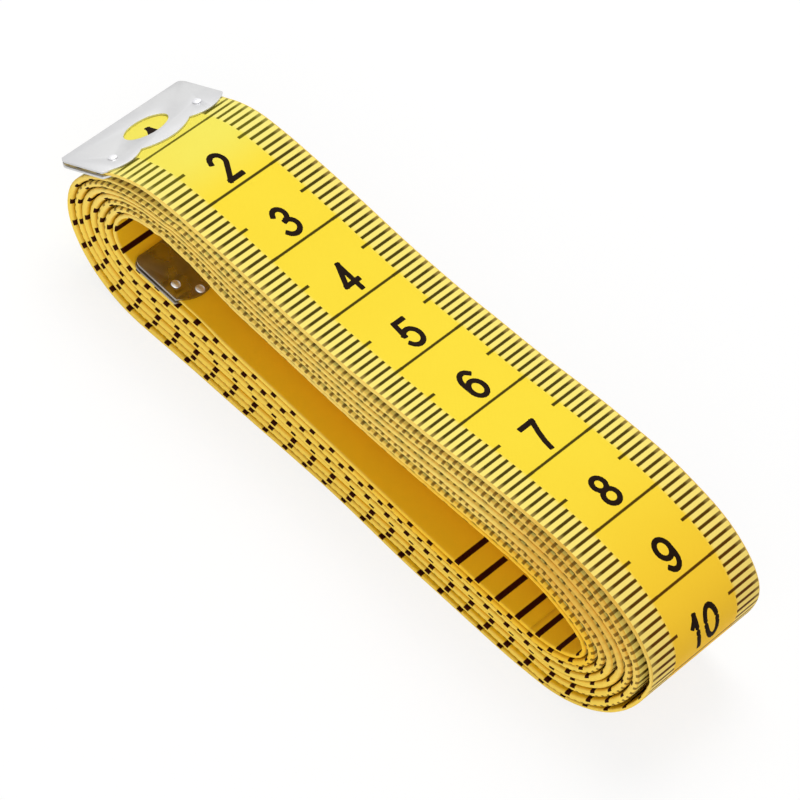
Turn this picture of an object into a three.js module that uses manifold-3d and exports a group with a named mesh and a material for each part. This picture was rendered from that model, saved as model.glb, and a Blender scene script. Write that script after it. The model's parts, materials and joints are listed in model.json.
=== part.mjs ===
// Cloth tape measure: one printed ribbon wound flat into an oblong coil, with a metal clip on each end.
// Millimetres, +Z up. X runs along the coil, Y across the ribbon, and the coil lies on its lowest pass.
// The origin is on the surface it lies on, under the middle of the whole part.

import * as THREE from 'three';
import { mergeVertices } from 'three/addons/utils/BufferGeometryUtils.js';
import Module from 'manifold-3d';

// Ribbon
const TAPE_WIDTH = 20;
const TAPE_THICKNESS = 0.35;
const EDGE_ROUNDING = 0.15;
const BUTT_GAP = 0.3; // between the winding and each free end, where the ribbon bends

// Winding, measured to the middle of the ribbon's thickness
const PASSES = 8;
const LAYER_GAP = 0.46; // where the passes lie closest
const BORE_LENGTH = 75.4;
const BORE_HEIGHT_LEFT = 5.5;
const BORE_HEIGHT_RIGHT = 7.1;
const BORE_DIP = 0.15;
const BOTTOM_BOW = 0.01; // of the bottom run, so that the coil stands on that run's ends

// Free ends
const OUTER_BEND_SHARE = 0.5; // of the way along the top run to its dip
const LEAD_ANGLE = THREE.MathUtils.degToRad(31); // of the outer clip, down from level
const SHOULDER_RADIUS = 11.6; // of the bend from the outer clip to the top run
const INNER_BEND_SHARE = 0.19; // of the way along the bottom run
const INNER_OVERHANG = 2.3; // past the left end of the bottom run

// Clips
const SHEET_THICKNESS = 0.25;
const CLIP_OVERHANG = 0.5; // past each edge of the ribbon
const CLIP_LENGTH = 9;
const CLIP_CLEARANCE = 0.05;
const SIDE_SETBACK = 1.7; // of the side lobes' outer corners, behind the centre lobe's tip
const SIDE_LOBE_SETBACK = 0.4; // of the side lobes' own tips
const NOTCH_SETBACK = 1.2; // of the notches where the lobes meet
const CENTRE_LOBE_WIDTH = 8.4;
const CORNER_RADIUS = 1.4;
const WINDOW_LENGTH = 6.8;
const WINDOW_WIDTH = 3.7;
const WINDOW_PLACE = 4.6; // from the folded end

// Rivets
const RIVET_SHANK_RADIUS = 0.35;
const RIVET_HEAD_RADIUS = 0.6;
const RIVET_HEAD_HEIGHT = 0.25;
const RIVET_TAIL_HEIGHT = 0.1;
const RIVET_CLEARANCE = 0.05;
const OUTER_RIVET_SETBACK = 2.9; // behind the centre lobe's tip
const OUTER_RIVET_INSET = 2.7; // from the ribbon's edge
const INNER_RIVET_SETBACKS = [3.3, 1.1];
const INNER_RIVET_INSETS = [1.1, 3];

// Fineness
const STEPS_PER_SECTION = [3, 5, 7, 6, 5, 6, 6];
const SHOULDER_STEPS = 5;
const LEAD_STEPS = 2;
const RIVET_SIDES = 16;
const HEAD_RINGS = 3;
const ARC_POINTS = 8;
const WINDOW_POINTS = 16;
const CUT_OVERRUN = 1;

const COLOURS = { tape: 0xfbe23c, clip: 0xcfcfd4, rivet: 0xdadade };

// Seven stations go once round the winding, starting on the top at its left end. At a level station the
// ribbon runs along X, and at an upright one along Z. Shares give a place along the half bore and, for each
// pass further out, how far the ribbon moves: outward in layer pitches, then sideways in those steps.
const LAYER_PITCH = TAPE_THICKNESS + LAYER_GAP;
const HALF_BORE = BORE_LENGTH / 2;
const HALF_THICKNESS = TAPE_THICKNESS / 2;
const OUTWARD_PASSES = PASSES - 1;
const HALF_WIDTH = TAPE_WIDTH / 2;
const CLIP_FOLD_RADIUS = HALF_THICKNESS + CLIP_CLEARANCE + SHEET_THICKNESS;
const CLIP_WIDTH = TAPE_WIDTH + CLIP_OVERHANG * 2;
const placeShares = [-0.836, 0.093, 0.756, 1, 0.809, -0.836, -1];
const looseShares = [1.01, 1.03, 1.41, 1.5, 1.01, 1.38, 1.5];
const leanShares = [0.36, -2.29, -0.37, 0.26, 0.71, 0.25, -0.09];
const uprightMiddleShares = [0.5, 0.52]; // of the bore's height, at its right and left ends

const steps = looseShares.map((share) => share * LAYER_PITCH);
const rightFloor = HALF_THICKNESS + OUTWARD_PASSES * steps[4];
const leftFloor = HALF_THICKNESS + OUTWARD_PASSES * steps[5];
const rightRoof = rightFloor + BORE_HEIGHT_RIGHT;
const leftRoof = leftFloor + BORE_HEIGHT_LEFT;
const boreHeights = [
  leftRoof,
  rightRoof - BORE_DIP,
  rightRoof,
  rightFloor + BORE_HEIGHT_RIGHT * uprightMiddleShares[0],
  rightFloor,
  leftFloor,
  leftFloor + BORE_HEIGHT_LEFT * uprightMiddleShares[1],
];
const outwardSigns = [1, 1, 1, 1, -1, -1, -1];
const stations = placeShares.map((share, index) => {
  const upright = Math.abs(share) === 1;
  const outward = outwardSigns[index] * steps[index];
  const sideways = leanShares[index] * steps[index];
  return {
    upright,
    bore: new THREE.Vector2(share * HALF_BORE, boreHeights[index]),
    outward: upright ? new THREE.Vector2(outward, sideways) : new THREE.Vector2(sideways, outward),
  };
});
const TOP_RUN_INDEX = 0;
const BOTTOM_RUN_INDEX = 4;
const JOG_INDEX = 5; // on this section the ribbon climbs one pass inwards
const LEFT_TOP_INDEX = 6;

/** Smooth step from 0 to 1. */
function ease(share) {
  return (1 - Math.cos(Math.PI * share)) / 2;
}

/** A station of the loop that lies `out` passes outside the bore. */
function stationPoint(station, out) {
  return station.bore.clone().addScaledVector(station.outward, out);
}

/** A point on one section of a loop: a quarter of an ellipse in a bend, half a cosine wave on a run. */
function sectionPoint(section, share, out) {
  const from = stations[section];
  const to = stations[(section + 1) % stations.length];
  const a = stationPoint(from, out);
  const b = stationPoint(to, out);
  const turn = (share * Math.PI) / 2;
  if (to.upright) {
    return new THREE.Vector2(a.x + (b.x - a.x) * Math.sin(turn), b.y + (a.y - b.y) * Math.cos(turn));
  }
  if (from.upright) {
    return new THREE.Vector2(b.x + (a.x - b.x) * Math.cos(turn), a.y + (b.y - a.y) * Math.sin(turn));
  }
  const bow = section === BOTTOM_RUN_INDEX ? BOTTOM_BOW * Math.sin(share * Math.PI) : 0;
  return new THREE.Vector2(a.x + (b.x - a.x) * share, a.y + (b.y - a.y) * ease(share) + bow);
}

/** A point of the winding: pass 0 is the outermost, and each pass climbs inwards on the left bend. */
function windingPoint(pass, section, share) {
  let out = OUTWARD_PASSES - pass;
  if (section === JOG_INDEX) out -= ease(share);
  if (section > JOG_INDEX) out -= 1;
  return sectionPoint(section, share, out);
}

/** The winding's route, from the bend of the outer end to the bend of the inner end. */
function windingRoute() {
  const route = [];
  for (let pass = 0; pass < PASSES; pass += 1) {
    for (let section = 0; section < stations.length; section += 1) {
      const starts = pass === 0 && section === TOP_RUN_INDEX;
      const ends = pass === PASSES - 1 && section === BOTTOM_RUN_INDEX;
      const first = starts ? OUTER_BEND_SHARE : 0;
      const last = ends ? INNER_BEND_SHARE : 1;
      const count = STEPS_PER_SECTION[section];
      for (let step = 0; step < count; step += 1) {
        const share = step / count;
        if (share > first && share < last) route.push(windingPoint(pass, section, share));
        else if (step === 0) route.push(windingPoint(pass, section, first));
      }
      if (ends) {
        const stop = windingPoint(pass, section, last);
        route[0] = shortened(route[1], route[0]);
        return [...route, shortened(route.at(-1), stop)];
      }
    }
  }
  return route;
}

/**
 * The outer end's route, from its tip to its bend. It lies straight through the clip, on a line that touches
 * the quarter ellipse on which this pass would go down, and the shoulder rounds it off into the top run.
 */
function outerEndRoute() {
  const top = stationPoint(stations[TOP_RUN_INDEX], OUTWARD_PASSES);
  const side = stationPoint(stations[LEFT_TOP_INDEX], OUTWARD_PASSES);
  const reach = top.x - side.x;
  const rise = top.y - side.y;
  const slope = Math.tan(LEAD_ANGLE);
  const touch = Math.atan2(slope * reach, rise);
  const corner = top.x - reach * Math.sin(touch) + (rise * (1 - Math.cos(touch))) / slope;
  const centre = new THREE.Vector2(
    corner + SHOULDER_RADIUS * Math.tan(LEAD_ANGLE / 2),
    top.y - SHOULDER_RADIUS,
  );
  const shoulder = [];
  for (let step = 0; step <= SHOULDER_STEPS; step += 1) {
    const turn = LEAD_ANGLE * (1 - step / SHOULDER_STEPS);
    const out = new THREE.Vector2(-Math.sin(turn), Math.cos(turn));
    shoulder.push(centre.clone().addScaledVector(out, SHOULDER_RADIUS));
  }
  shoulder.push(top);
  const lead = [];
  for (let step = 1; step < LEAD_STEPS; step += 1) {
    lead.push(windingPoint(0, TOP_RUN_INDEX, (OUTER_BEND_SHARE * step) / LEAD_STEPS));
  }
  const away = new THREE.Vector2(-Math.cos(LEAD_ANGLE), -Math.sin(LEAD_ANGLE));
  const tip = shoulder[0].clone().addScaledVector(away, CLIP_LENGTH - CLIP_FOLD_RADIUS);
  const bend = windingPoint(0, TOP_RUN_INDEX, OUTER_BEND_SHARE);
  return { route: [tip, ...shoulder, ...lead, shortened(lead.at(-1), bend)], bend, tip, angle: LEAD_ANGLE };
}

/** The inner end's route, from its bend to its tip: along the bottom run, then straight into the clip. */
function innerEndRoute() {
  const pass = PASSES - 1;
  const at = (share) => windingPoint(pass, BOTTOM_RUN_INDEX, share);
  const bend = at(INNER_BEND_SHARE);
  const start = stations[BOTTOM_RUN_INDEX].bore.x;
  const end = stations[JOG_INDEX].bore.x;
  const straightShare = (start - (end - INNER_OVERHANG + CLIP_LENGTH)) / (start - end);
  const curve = [];
  const count = STEPS_PER_SECTION[BOTTOM_RUN_INDEX];
  for (let step = 1; step <= count; step += 1) {
    curve.push(at(INNER_BEND_SHARE + ((straightShare - INNER_BEND_SHARE) * step) / count));
  }
  const last = curve.at(-1);
  const along = last.clone().sub(curve.at(-2)).normalize();
  const tip = last.clone().addScaledVector(along, CLIP_LENGTH - CLIP_FOLD_RADIUS);
  return {
    route: [shortened(curve[0], bend), ...curve, tip],
    bend,
    tip,
    angle: Math.atan2(-along.y, -along.x),
  };
}

/** The point that stops half a butt gap short of a bend. */
function shortened(before, bend) {
  const back = before.clone().sub(bend).normalize();
  return bend.clone().addScaledVector(back, BUTT_GAP / 2);
}

/** Unit normals of a route, turned a quarter left of the way it runs. */
function routeNormals(route) {
  return route.map((point, index) => {
    const before = route[Math.max(index - 1, 0)];
    const after = route[Math.min(index + 1, route.length - 1)];
    const along = after.clone().sub(before).normalize();
    return new THREE.Vector2(-along.y, along.x);
  });
}

/** A closed ribbon along a route in the XZ plane, six-sided, with its edges rounded to a ridge. */
function ribbonGeometry(route) {
  const flat = HALF_WIDTH - EDGE_ROUNDING;
  const section = [
    [-HALF_WIDTH, 0],
    [-flat, -HALF_THICKNESS],
    [flat, -HALF_THICKNESS],
    [HALF_WIDTH, 0],
    [flat, HALF_THICKNESS],
    [-flat, HALF_THICKNESS],
  ];
  const normals = routeNormals(route);
  const positions = [];
  route.forEach((point, index) => {
    section.forEach(([across, up]) => {
      positions.push(point.x + normals[index].x * up, across, point.y + normals[index].y * up);
    });
  });
  const sides = section.length;
  const triangles = [];
  for (let ring = 0; ring < route.length - 1; ring += 1) {
    for (let side = 0; side < sides; side += 1) {
      const a = ring * sides + side;
      const b = ring * sides + ((side + 1) % sides);
      triangles.push(a, b, a + sides, b, b + sides, a + sides);
    }
  }
  const last = (route.length - 1) * sides;
  for (let side = 1; side < sides - 1; side += 1) {
    triangles.push(0, side + 1, side, last, last + side, last + side + 1);
  }
  const geometry = new THREE.BufferGeometry();
  geometry.setAttribute('position', new THREE.Float32BufferAttribute(positions, 3));
  geometry.setIndex(triangles);
  geometry.computeVertexNormals();
  return geometry;
}

/** Least clear space between two stretches of the winding that aren't neighbours along the ribbon. */
function leastGap(route) {
  const normals = routeNormals(route);
  const turn = STEPS_PER_SECTION.reduce((sum, count) => sum + count, 0);
  const face = (index, side) => route[index].clone().addScaledVector(normals[index], side * HALF_THICKNESS);
  const nearest = new THREE.Vector3();
  let least = Infinity;
  for (const side of [-1, 1]) {
    for (let i = 0; i < route.length; i += 1) {
      const here = face(i, side);
      for (let j = 0; j < route.length - 1; j += 1) {
        if (Math.abs(j - i) < turn / 2) continue;
        const a = face(j, -side);
        const b = face(j + 1, -side);
        const line = new THREE.Line3(new THREE.Vector3(a.x, a.y, 0), new THREE.Vector3(b.x, b.y, 0));
        line.closestPointToPoint(new THREE.Vector3(here.x, here.y, 0), true, nearest);
        least = Math.min(least, Math.hypot(nearest.x - here.x, nearest.y - here.y));
      }
    }
  }
  return least;
}

/** Length of a route. */
function routeLength(route) {
  return route.slice(1).reduce((sum, point, index) => sum + point.distanceTo(route[index]), 0);
}

const wasm = await Module();
wasm.setup();

/** A closed geometry as a solid that can be cut. */
function solidOf(geometry) {
  const bare = geometry.clone();
  bare.deleteAttribute('normal');
  bare.deleteAttribute('uv');
  const merged = mergeVertices(bare);
  return new wasm.Manifold(
    new wasm.Mesh({
      numProp: 3,
      vertProperties: new Float32Array(merged.attributes.position.array),
      triVerts: new Uint32Array(merged.index.array),
    }),
  );
}

/** A solid as a geometry with flat facets. */
function geometryOf(solid) {
  const mesh = solid.getMesh();
  const geometry = new THREE.BufferGeometry();
  geometry.setAttribute('position', new THREE.BufferAttribute(new Float32Array(mesh.vertProperties), 3));
  geometry.setIndex(new THREE.BufferAttribute(new Uint32Array(mesh.triVerts), 1));
  geometry.computeVertexNormals();
  return geometry;
}

// The clip has a frame of its own: X from the folded end along the ribbon, Y across it, and Z out of the
// windowed face.
/** The sheet's folded profile, as a U whose slot takes the ribbon. */
function clipProfile() {
  const shape = new THREE.Shape();
  const outer = CLIP_FOLD_RADIUS;
  const inner = outer - SHEET_THICKNESS;
  const end = CLIP_LENGTH + CUT_OVERRUN;
  shape.moveTo(end, -outer);
  shape.lineTo(end, -inner);
  shape.lineTo(outer, -inner);
  shape.absarc(outer, 0, inner, -Math.PI / 2, Math.PI / 2, true);
  shape.lineTo(end, inner);
  shape.lineTo(end, outer);
  shape.lineTo(outer, outer);
  shape.absarc(outer, 0, outer, Math.PI / 2, -Math.PI / 2, false);
  return shape;
}

/** The stamped outline: round corners at the fold, and three shallow lobes that meet in two notches. */
function clipOutline() {
  const half = CLIP_WIDTH / 2;
  const notch = CENTRE_LOBE_WIDTH / 2;
  const sideLobe = (half + notch) / 2;
  const sideEnd = CLIP_LENGTH - SIDE_SETBACK;
  const notchEnd = CLIP_LENGTH - NOTCH_SETBACK;
  const sideTop = CLIP_LENGTH - SIDE_LOBE_SETBACK * 2 + (SIDE_SETBACK + NOTCH_SETBACK) / 2;
  const centreTop = CLIP_LENGTH + NOTCH_SETBACK;
  const shape = new THREE.Shape();
  shape.moveTo(CORNER_RADIUS, -half);
  shape.lineTo(sideEnd, -half);
  shape.quadraticCurveTo(sideTop, -sideLobe, notchEnd, -notch);
  shape.quadraticCurveTo(centreTop, 0, notchEnd, notch);
  shape.quadraticCurveTo(sideTop, sideLobe, sideEnd, half);
  shape.lineTo(CORNER_RADIUS, half);
  shape.absarc(CORNER_RADIUS, half - CORNER_RADIUS, CORNER_RADIUS, Math.PI / 2, Math.PI, false);
  shape.lineTo(0, CORNER_RADIUS - half);
  shape.absarc(CORNER_RADIUS, CORNER_RADIUS - half, CORNER_RADIUS, Math.PI, Math.PI * 1.5, false);
  return shape;
}

/** The oval window's outline. */
function windowOutline() {
  const shape = new THREE.Shape();
  shape.absellipse(WINDOW_PLACE, 0, WINDOW_WIDTH / 2, WINDOW_LENGTH / 2, 0, Math.PI * 2, false);
  return shape;
}

/** A folded clip with its window in the face at +Z and a hole through both faces for each rivet. */
function clipGeometry(rivetPlaces) {
  const folded = new THREE.ExtrudeGeometry(clipProfile(), {
    depth: CLIP_WIDTH + CUT_OVERRUN,
    bevelEnabled: false,
    curveSegments: ARC_POINTS,
  });
  folded.translate(0, 0, -(CLIP_WIDTH + CUT_OVERRUN) / 2);
  folded.rotateX(Math.PI / 2);
  const reach = CLIP_FOLD_RADIUS + CUT_OVERRUN;
  const outline = new THREE.ExtrudeGeometry(clipOutline(), {
    depth: reach * 2,
    bevelEnabled: false,
    curveSegments: ARC_POINTS,
  });
  outline.translate(0, 0, -reach);
  const opening = new THREE.ExtrudeGeometry(windowOutline(), {
    depth: reach,
    bevelEnabled: false,
    curveSegments: WINDOW_POINTS,
  });
  let solid = solidOf(folded).intersect(solidOf(outline)).subtract(solidOf(opening));
  rivetPlaces.forEach((place) => {
    solid = solid.subtract(solidOf(rivetHole(place)));
  });
  return geometryOf(solid);
}

/** The hole that a rivet's shank passes through. */
function rivetHole([along, across]) {
  const radius = RIVET_SHANK_RADIUS + RIVET_CLEARANCE;
  const reach = CLIP_FOLD_RADIUS + CUT_OVERRUN;
  const hole = new THREE.CylinderGeometry(radius, radius, reach * 2, RIVET_SIDES);
  hole.rotateX(Math.PI / 2);
  hole.translate(along, across, 0);
  return hole;
}

/** A rivet about Z: a shank with a domed head over one face of the clip and a flat tail over the other. */
function rivetGeometry(domeSign) {
  const seat = CLIP_FOLD_RADIUS + RIVET_CLEARANCE / 2;
  const profile = [
    new THREE.Vector2(0, -seat - RIVET_TAIL_HEIGHT),
    new THREE.Vector2(RIVET_HEAD_RADIUS, -seat - RIVET_TAIL_HEIGHT),
    new THREE.Vector2(RIVET_HEAD_RADIUS, -seat),
    new THREE.Vector2(RIVET_SHANK_RADIUS, -seat),
    new THREE.Vector2(RIVET_SHANK_RADIUS, seat),
  ];
  for (let ring = 0; ring < HEAD_RINGS; ring += 1) {
    const turn = (ring / HEAD_RINGS) * (Math.PI / 2);
    const radius = RIVET_HEAD_RADIUS * Math.cos(turn);
    profile.push(new THREE.Vector2(radius, seat + RIVET_HEAD_HEIGHT * Math.sin(turn)));
  }
  profile.push(new THREE.Vector2(0, seat + RIVET_HEAD_HEIGHT));
  const geometry = new THREE.LatheGeometry(profile, RIVET_SIDES);
  geometry.rotateX((domeSign * Math.PI) / 2);
  return geometry;
}

/** A named mesh with its own material. */
function piece(name, geometry, color, roughness, metalness) {
  const mesh = new THREE.Mesh(geometry, new THREE.MeshStandardMaterial({ color, roughness, metalness }));
  mesh.name = name;
  return mesh;
}

/** Where a clip's rivets go: the same places in from the front edge and from the back edge. */
function rivetsOf(prefix, setbacks, insets, labels, flipped) {
  const sides = { front: flipped ? 1 : -1, back: flipped ? -1 : 1 };
  return Object.entries(sides).flatMap(([side, sign]) =>
    setbacks.map((setback, index) => ({
      name: `${prefix}_${side}${labels[index]}`,
      place: [CLIP_LENGTH - setback, sign * (HALF_WIDTH - insets[index])],
    })),
  );
}

/** A free end: its ribbon, with the rivets' holes, and the group that carries its clip and rivets. */
function freeEnd(end, ribbonName, clipName, rivets, flipped) {
  const fittings = new THREE.Group();
  const along = new THREE.Vector2(Math.cos(end.angle), Math.sin(end.angle));
  const folded = end.tip.clone().addScaledVector(along, -CLIP_FOLD_RADIUS);
  fittings.position.set(folded.x, 0, folded.y);
  fittings.rotation.set(flipped ? Math.PI : 0, -end.angle, 0, 'YXZ');
  fittings.updateMatrix();
  const places = rivets.map((rivet) => rivet.place);
  fittings.add(piece(clipName, clipGeometry(places), COLOURS.clip, 0.35, 1));
  let ribbon = solidOf(ribbonGeometry(end.route));
  rivets.forEach((rivet) => {
    ribbon = ribbon.subtract(solidOf(rivetHole(rivet.place).applyMatrix4(fittings.matrix)));
    const mesh = piece(rivet.name, rivetGeometry(flipped ? -1 : 1), COLOURS.rivet, 0.3, 1);
    mesh.position.set(rivet.place[0], rivet.place[1], 0);
    fittings.add(mesh);
  });
  const group = new THREE.Group();
  group.add(piece(ribbonName, geometryOf(ribbon), COLOURS.tape, 0.6, 0), fittings);
  return group;
}

const outerEnd = outerEndRoute();
const innerEnd = innerEndRoute();
const winding = windingRoute();
const whole = [...outerEnd.route, ...winding, ...innerEnd.route];
console.log(`ribbon ${routeLength(whole).toFixed(0)} mm long, least gap ${leastGap(whole).toFixed(2)} mm`);

const part = new THREE.Group();
part.add(
  piece('tape_coil', ribbonGeometry(winding), COLOURS.tape, 0.6, 0),
  freeEnd(
    outerEnd,
    'tape_outer_end',
    'outer_end_clip',
    rivetsOf('outer_clip_rivet', [OUTER_RIVET_SETBACK], [OUTER_RIVET_INSET], [''], false),
    false,
  ),
  freeEnd(
    innerEnd,
    'tape_inner_end',
    'inner_end_clip',
    rivetsOf('inner_clip_rivet', INNER_RIVET_SETBACKS, INNER_RIVET_INSETS, ['_outer', '_inner'], true),
    true,
  ),
);
const box = new THREE.Box3().setFromObject(part);
part.position.x = -(box.min.x + box.max.x) / 2;

export default part;
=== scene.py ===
"""Looks of a cloth tape measure, wound into an oblong coil, with a folded metal clip on each end.

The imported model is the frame. The printed ribbon is made here as a flat strip and wound along its
route, and its figures are laid on it as ink. The clips get rounded edges, and the clips and rivets
a plated finish.
"""

from __future__ import annotations

import json
import logging
import math
from bisect import bisect_right
from collections.abc import Iterable
from dataclasses import dataclass, field
from enum import Enum

import bmesh
import bpy
from bmesh.types import BMEdge, BMesh
from bpy.types import Curve, Material, Mesh, Node, NodeSocket, NodeTree, Object
from mathutils import Matrix, Vector

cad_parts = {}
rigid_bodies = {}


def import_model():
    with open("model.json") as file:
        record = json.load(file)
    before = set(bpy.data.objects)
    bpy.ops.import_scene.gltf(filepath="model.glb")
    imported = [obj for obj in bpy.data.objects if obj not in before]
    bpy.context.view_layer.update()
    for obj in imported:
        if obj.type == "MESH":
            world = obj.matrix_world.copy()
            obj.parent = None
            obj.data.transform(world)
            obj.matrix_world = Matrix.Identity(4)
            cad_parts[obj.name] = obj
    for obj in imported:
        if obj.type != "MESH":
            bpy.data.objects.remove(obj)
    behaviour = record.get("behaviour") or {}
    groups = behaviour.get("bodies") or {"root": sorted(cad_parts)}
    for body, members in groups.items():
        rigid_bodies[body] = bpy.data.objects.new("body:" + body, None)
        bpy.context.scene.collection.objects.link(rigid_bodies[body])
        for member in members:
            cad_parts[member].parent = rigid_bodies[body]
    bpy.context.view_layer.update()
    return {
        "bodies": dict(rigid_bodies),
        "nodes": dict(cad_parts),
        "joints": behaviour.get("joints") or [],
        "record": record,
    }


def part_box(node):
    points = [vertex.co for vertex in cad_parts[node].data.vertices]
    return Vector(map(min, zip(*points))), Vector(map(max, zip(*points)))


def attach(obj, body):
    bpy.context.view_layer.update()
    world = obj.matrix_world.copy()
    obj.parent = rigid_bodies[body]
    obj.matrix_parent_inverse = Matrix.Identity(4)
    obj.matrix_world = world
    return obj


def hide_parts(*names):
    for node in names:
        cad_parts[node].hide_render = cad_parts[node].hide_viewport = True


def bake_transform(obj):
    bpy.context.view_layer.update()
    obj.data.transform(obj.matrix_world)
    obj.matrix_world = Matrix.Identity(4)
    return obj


MM = 0.001
INCH = 25.4 * MM
SCALE_ZERO = 0.75 * MM  # how far outside the outer tip the printed scale would start

Table = tuple[tuple[float, float], ...]

log = logging.getLogger("tape_measure")


class Side(Enum):
    """The two printed faces of the ribbon, by the sign of the height above its middle."""

    CENTIMETRES = 1
    INCHES = -1


def srgb(code: str) -> tuple[float, float, float, float]:
    """A colour as a shader takes it.

    Args:
        code: six hexadecimal digits, as on a screen.

    Returns:
        Linear red, green and blue, and an alpha of 1.
    """
    shares = [int(code[place : place + 2], 16) / 255 for place in (0, 2, 4)]
    linear = [s / 12.92 if s <= 0.04045 else ((s + 0.055) / 1.055) ** 2.4 for s in shares]
    return linear[0], linear[1], linear[2], 1.0


# The ribbon's route


def eased(share: float) -> float:
    """A smooth step from 0 to 1."""
    share = min(max(share, 0), 1)
    return share * share * (3 - 2 * share)


def from_table(rows: Table, place: float) -> float:
    """The value at a place, eased between the rows of a table.

    Args:
        rows: places in rising order, each with its value.
        place: the place asked for.

    Returns:
        The value, which is that of the nearest row outside the table.
    """
    for (start, before), (end, after) in zip(rows, rows[1:]):
        if place < end:
            return before + (after - before) * eased((place - start) / (end - start))
    return rows[-1][1]


@dataclass(frozen=True)
class Station:
    """A place on the loop that every pass goes through.

    At a level station the ribbon runs along X, and at an upright one along Z.
    """

    bore: Vector
    outward: Vector
    upright: bool

    def at(self, out: float) -> Vector:
        """Where a pass goes that lies `out` passes outside the bore."""
        return self.bore + self.outward * out


@dataclass(frozen=True)
class Loop:
    """Shares that shape one station of the loop."""

    place: float  # along the half bore
    loose: float  # how far each pass further out moves outward, in layer pitches
    lean: float  # and how far it moves sideways, in those steps
    outward: int  # which way outward is, along Z or, at an upright station, along X


class Route:
    """The middle of the ribbon's thickness in the XZ plane, from the outer to the inner tip."""

    usual_room = 0.8 * MM
    most_room = 5 * MM
    next_pass = (100, 185)  # how many points further on it lies

    def __init__(self, points: list[Vector], marks: dict[str, int]) -> None:
        """Measure the route.

        Args:
            points: the places that it goes through.
            marks: named places, as indices into the points.
        """
        self.points = points
        self.distances = [0.0]
        for before, after in zip(points, points[1:]):
            self.distances.append(self.distances[-1] + (after - before).length)
        self.marks = {name: self.distances[index] for name, index in marks.items()}
        self.look_round()

    def look_round(self) -> None:
        """Find the outward direction and the room inside at each point."""
        self.normals = []
        last = len(self.points) - 1
        for index in range(len(self.points)):
            before, after = self.points[max(index - 1, 0)], self.points[min(index + 1, last)]
            along = (after - before).normalized()
            self.normals.append(Vector((-along.y, along.x)))
        self.rooms = self.evened([self.room_inside(index) for index in range(len(self.points))])

    def room_inside(self, index: int) -> float:
        """How far the next pass inward is from a point, middle to middle.

        Args:
            index: the point's index.

        Returns:
            The distance, or a usual one where there is no such pass.
        """
        here, normal = self.points[index], self.normals[index]
        along = Vector((normal.y, -normal.x))
        found = []
        first, last = self.next_pass
        window = self.points[index + first : index + last]
        for before, after in zip(window, window[1:]):
            a, b = (before - here).dot(along), (after - here).dot(along)
            if a * b <= 0 and a != b and (before - here).length < self.most_room:
                found.append(abs((before.lerp(after, a / (a - b)) - here).dot(normal)))
        return min(found, default=self.usual_room)

    @staticmethod
    def evened(values: list[float], reach: int = 6) -> list[float]:
        """Each value as the mean of those up to `reach` places away."""
        spans = [values[max(i - reach, 0) : i + reach + 1] for i in range(len(values))]
        return [sum(span) / len(span) for span in spans]

    def share_at(self, along: float) -> tuple[int, float]:
        """The index of the point before a distance, and the share of the way to the next point.

        Args:
            along: the distance from the outer tip.

        Returns:
            The index, and the share, which is outside 0 to 1 beyond the tips.
        """
        index = min(max(bisect_right(self.distances, along) - 1, 0), len(self.points) - 2)
        span = self.distances[index + 1] - self.distances[index]
        return index, (along - self.distances[index]) / span

    def room(self, along: float) -> float:
        """How far the next pass inward is, at a distance from the outer tip.

        Args:
            along: the distance from the outer tip.

        Returns:
            The distance between the middles of the two passes.
        """
        index, share = self.share_at(along)
        share = min(max(share, 0), 1)
        return self.rooms[index] * (1 - share) + self.rooms[index + 1] * share

    @property
    def length(self) -> float:
        """The ribbon's length."""
        return self.distances[-1]

    def lay(self, along: float, across: float, up: float) -> Vector:
        """Where a point of the flat ribbon comes to lie.

        Args:
            along: its distance from the outer tip.
            across: its distance from the middle of the width, positive to the back.
            up: its height above the middle of the thickness, positive on the centimetre side.

        Returns:
            Its place in the row frame.
        """
        index, share = self.share_at(along)
        middle = self.points[index].lerp(self.points[index + 1], share)
        normal = self.normals[index].lerp(self.normals[index + 1], share).normalized()
        flat = middle + normal * up
        return Vector((flat.x, across, flat.y))


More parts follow.
